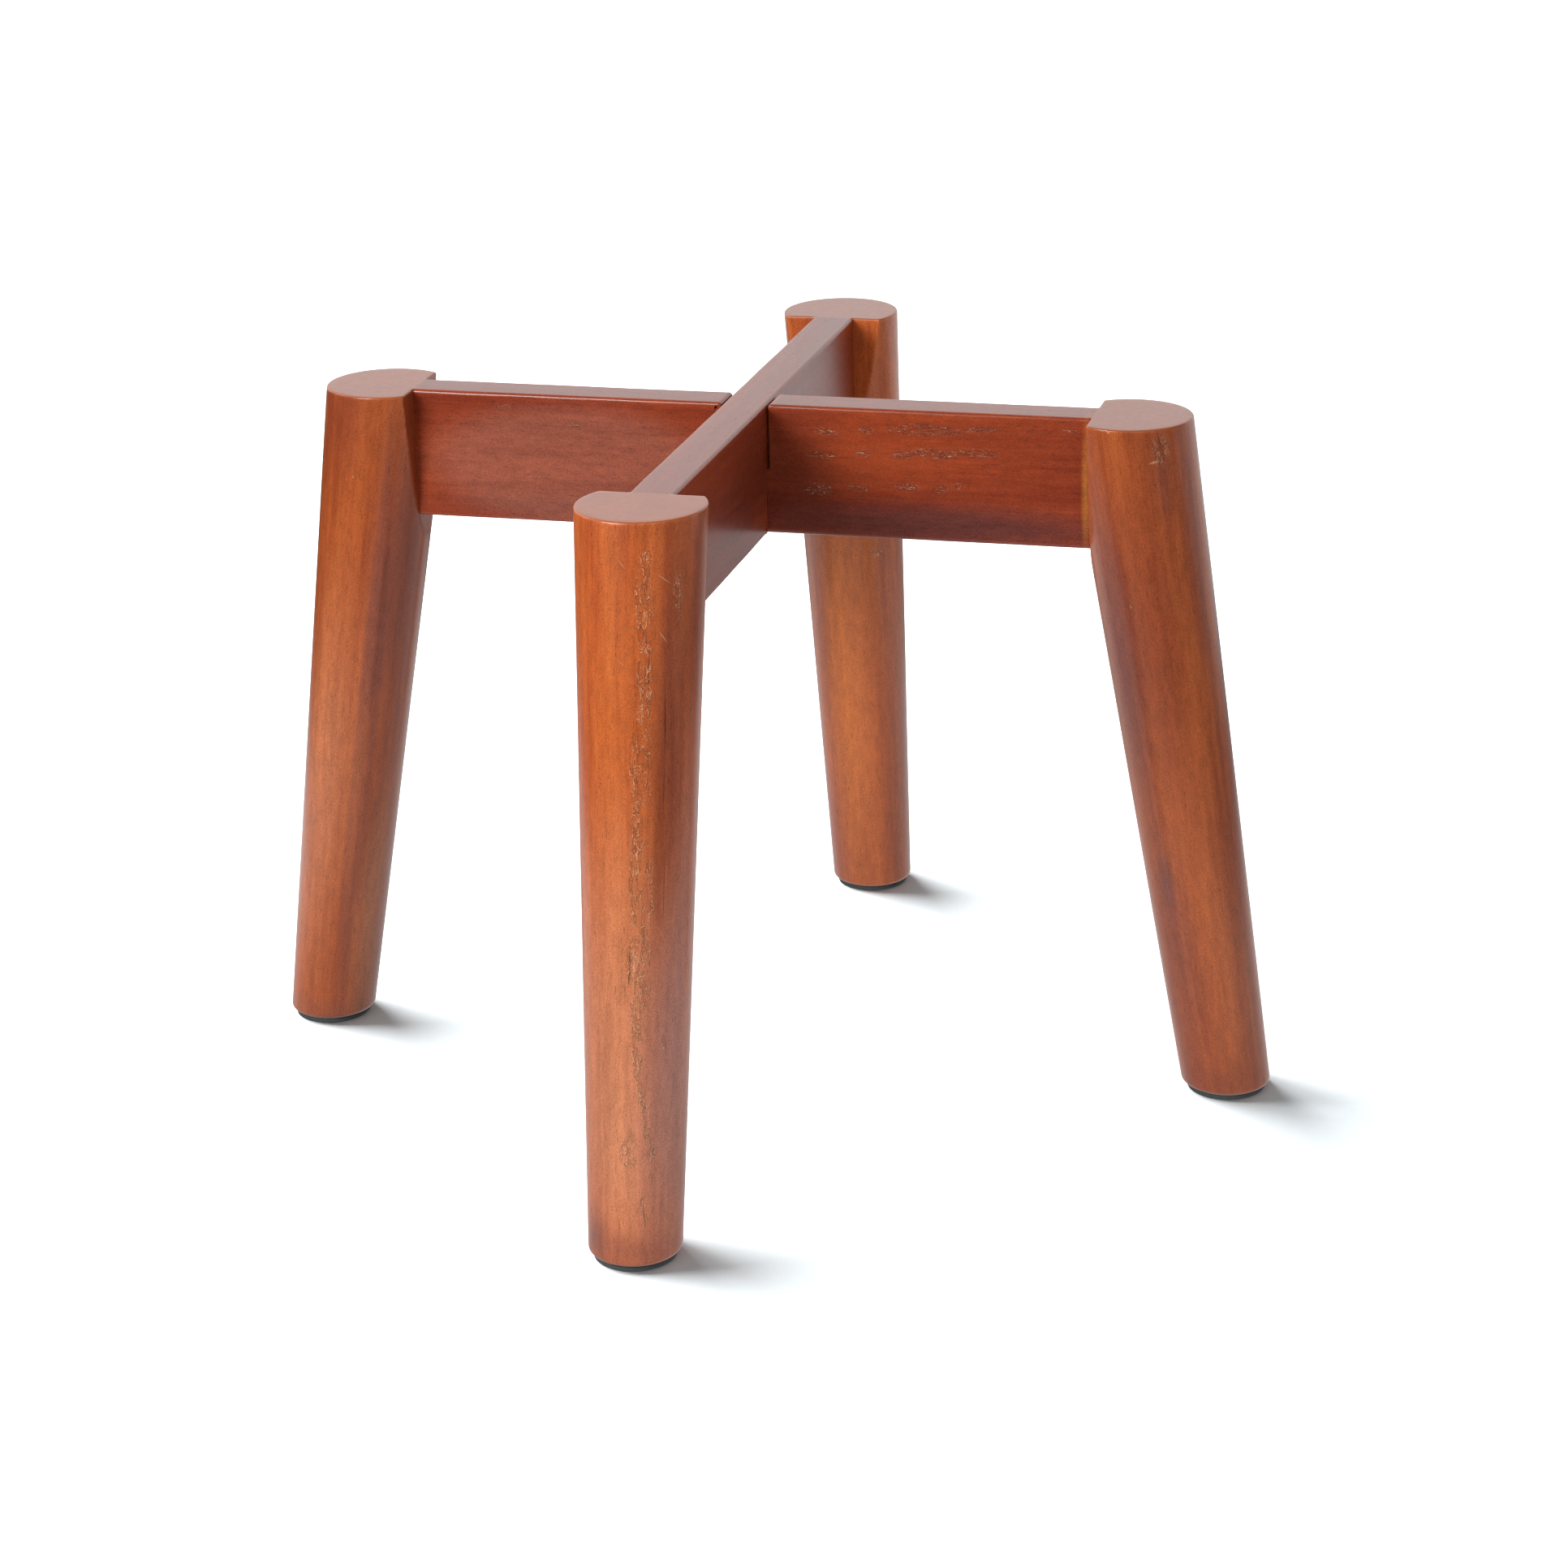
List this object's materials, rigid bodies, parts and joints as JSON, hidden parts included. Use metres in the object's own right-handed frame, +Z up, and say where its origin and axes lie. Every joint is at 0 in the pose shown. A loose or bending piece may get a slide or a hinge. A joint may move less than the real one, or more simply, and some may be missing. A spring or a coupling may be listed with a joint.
{
  "type": "plant stand",
  "caption": "Low wooden stand: rails on edge cross in a slot-together half-lap, with splayed, tapered round legs at their ends and flush tops that carry a pot or planter.",
  "frame": {"origin": "centre of the stand's footprint, on the floor", "axes": "+X along the side-to-side rail towards the right leg, +Y along the front-to-back rail towards the back leg, +Z up"},
  "size_m": [0.3628, 0.3628, 0.24],
  "materials": {
    "leg_wood": "reddish-brown stain under satin lacquer",
    "rail_wood": "dark reddish-brown stain under satin lacquer",
    "dowel_wood": "bare beech, fluted",
    "foot_pad": "dark grey soft foam rubber, matt",
    "adhesive_film": "pale adhesive film"
  },
  "bodies": {
    "lower_frame": {"rail_lower": "rail_wood", "leg_right": "leg_wood", "dowel_right_upper": "dowel_wood", "dowel_right_lower": "dowel_wood", "adhesive_right": "adhesive_film", "pad_right": "foot_pad", "leg_left": "leg_wood", "dowel_left_upper": "dowel_wood", "dowel_left_lower": "dowel_wood", "adhesive_left": "adhesive_film", "pad_left": "foot_pad"},
    "upper_frame": {"rail_upper": "rail_wood", "leg_back": "leg_wood", "dowel_back_upper": "dowel_wood", "dowel_back_lower": "dowel_wood", "adhesive_back": "adhesive_film", "pad_back": "foot_pad", "leg_front": "leg_wood", "dowel_front_upper": "dowel_wood", "dowel_front_lower": "dowel_wood", "adhesive_front": "adhesive_film", "pad_front": "foot_pad"}
  },
  "joints": [
    {"name": "frame_lift", "type": "slide", "parent": "lower_frame", "child": "upper_frame", "axis": [0, 0, 1], "range_m": [0, 0.024]}
  ]
}
